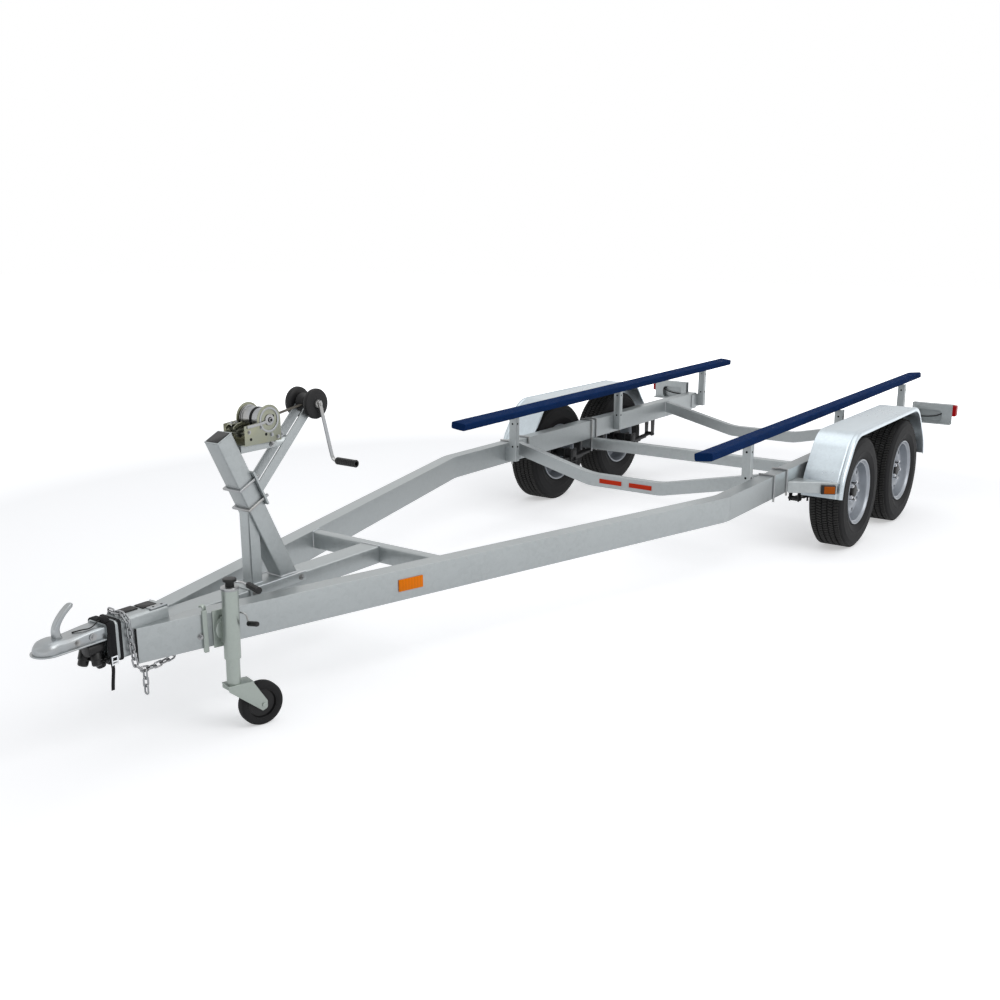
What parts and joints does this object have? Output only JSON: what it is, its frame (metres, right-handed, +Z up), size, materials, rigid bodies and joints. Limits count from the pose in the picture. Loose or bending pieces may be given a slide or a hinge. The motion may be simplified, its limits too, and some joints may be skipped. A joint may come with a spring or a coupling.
{
  "type": "boat trailer",
  "caption": "Tandem-axle boat trailer with a galvanised frame, padded bunks, fenders, a winch post with bow roller and a swivel jack, parked on its jack.",
  "frame": {"origin": "middle of the footprint, on the ground", "axes": "+X forward to the coupler, +Y to the trailer's left, +Z up"},
  "size_m": [6.9373, 2.448, 1.175],
  "materials": {
    "galvanised": "hot-dip galvanised, satin",
    "fender_sheet": "bright galvanised sheet",
    "wheel_silver": "silver paint, satin",
    "tyre": "matte black",
    "black_rubber": "matte",
    "black_plastic": "satin",
    "bunk_carpet": "blue carpet",
    "black_steel": "satin black",
    "zinc": "yellow zinc plate",
    "red_lens": "gloss",
    "amber_lens": "gloss"
  },
  "bodies": {
    "chassis": {"rail_left": "galvanised", "rail_right": "galvanised", "tongue_tube": "galvanised", "drawbar_head": "galvanised", "front_brace": "galvanised", "cross_member_front": "galvanised", "cross_member_rear": "galvanised", "cross_member_middle": "galvanised", "bunk_left": "bunk_carpet", "bunk_right": "bunk_carpet", "bunk_posts": "galvanised", "rail_u_bolts": "galvanised", "axle_front": "black_steel", "axle_rear": "black_steel", "leaf_springs": "black_steel", "spring_hangers": "black_steel", "fender_left": "fender_sheet", "fender_right": "fender_sheet", "fender_brackets": "galvanised", "side_marker_lamps": "amber_lens", "tail_brackets": "galvanised", "tail_lamps": "red_lens", "side_reflectors": "amber_lens", "front_reflectors": "red_lens", "winch_post": "galvanised", "winch_post_saddle": "galvanised", "winch_post_cap": "black_plastic", "winch_stand": "galvanised", "winch_clamp_bolts": "galvanised", "winch_frame": "zinc", "coupler": "galvanised", "coupler_lever": "galvanised", "cable_strap": "black_rubber", "light_plugs": "black_plastic", "jack_bracket": "zinc", "safety_chain": "galvanised", "winch_strap": "black_rubber"},
    "wheel_front_left": {"wheel_front_left_tyre": "tyre", "wheel_front_left_rim": "wheel_silver", "wheel_front_left_hub": "galvanised"},
    "wheel_front_right": {"wheel_front_right_tyre": "tyre", "wheel_front_right_rim": "wheel_silver", "wheel_front_right_hub": "galvanised"},
    "wheel_rear_left": {"wheel_rear_left_tyre": "tyre", "wheel_rear_left_rim": "wheel_silver", "wheel_rear_left_hub": "galvanised"},
    "wheel_rear_right": {"wheel_rear_right_tyre": "tyre", "wheel_rear_right_rim": "wheel_silver", "wheel_rear_right_hub": "galvanised"},
    "winch_reel": {"winch_drum": "zinc"},
    "bow_roller_shaft": {"bow_roller": "black_rubber", "crank": "zinc", "crank_grip": "black_plastic"},
    "jack_frame": {"jack_tube": "zinc", "jack_cap": "black_plastic", "jack_grip": "black_plastic"},
    "jack_stem": {"jack_leg": "zinc"},
    "jack_swivel": {"jack_fork": "zinc"},
    "jack_roller": {"jack_wheel_tyre": "black_rubber", "jack_wheel_hub": "black_plastic"}
  },
  "joints": [
    {"name": "wheel_front_left_spin", "type": "hinge", "parent": "chassis", "child": "wheel_front_left", "pos_m": [-1.15186, 1.062, 0.336], "axis": [0, 1, 0], "continuous": true},
    {"name": "wheel_front_right_spin", "type": "hinge", "parent": "chassis", "child": "wheel_front_right", "pos_m": [-1.15186, -1.062, 0.336], "axis": [0, 1, 0], "continuous": true},
    {"name": "wheel_rear_left_spin", "type": "hinge", "parent": "chassis", "child": "wheel_rear_left", "pos_m": [-2.00211, 1.062, 0.336], "axis": [0, 1, 0], "continuous": true},
    {"name": "wheel_rear_right_spin", "type": "hinge", "parent": "chassis", "child": "wheel_rear_right", "pos_m": [-2.00211, -1.062, 0.336], "axis": [0, 1, 0], "continuous": true},
    {"name": "winch_drum_turn", "type": "hinge", "parent": "chassis", "child": "winch_reel", "pos_m": [2.48242, 0, 1.08094], "axis": [0, 1, 0], "continuous": true},
    {"name": "bow_roller_turn", "type": "hinge", "parent": "chassis", "child": "bow_roller_shaft", "pos_m": [2.23318, 0, 1.11504], "axis": [0, 1, 0], "continuous": true},
    {"name": "jack_swing", "type": "hinge", "parent": "chassis", "child": "jack_frame", "pos_m": [2.83335, 0.20972, 0.37766], "axis": [0.283, 0.9591, 0], "range_deg": [0, 90]},
    {"name": "jack_lift", "type": "slide", "parent": "jack_frame", "child": "jack_stem", "axis": [0, 0, -1], "range_m": [-0.085, 0.1]},
    {"name": "jack_caster_turn", "type": "hinge", "parent": "jack_stem", "child": "jack_swivel", "pos_m": [2.83335, 0.20972, 0.17], "axis": [0, 0, -1], "continuous": true},
    {"name": "jack_wheel_spin", "type": "hinge", "parent": "jack_swivel", "child": "jack_roller", "pos_m": [2.73743, 0.23801, 0.083], "axis": [0.283, 0.9591, 0], "continuous": true}
  ]
}
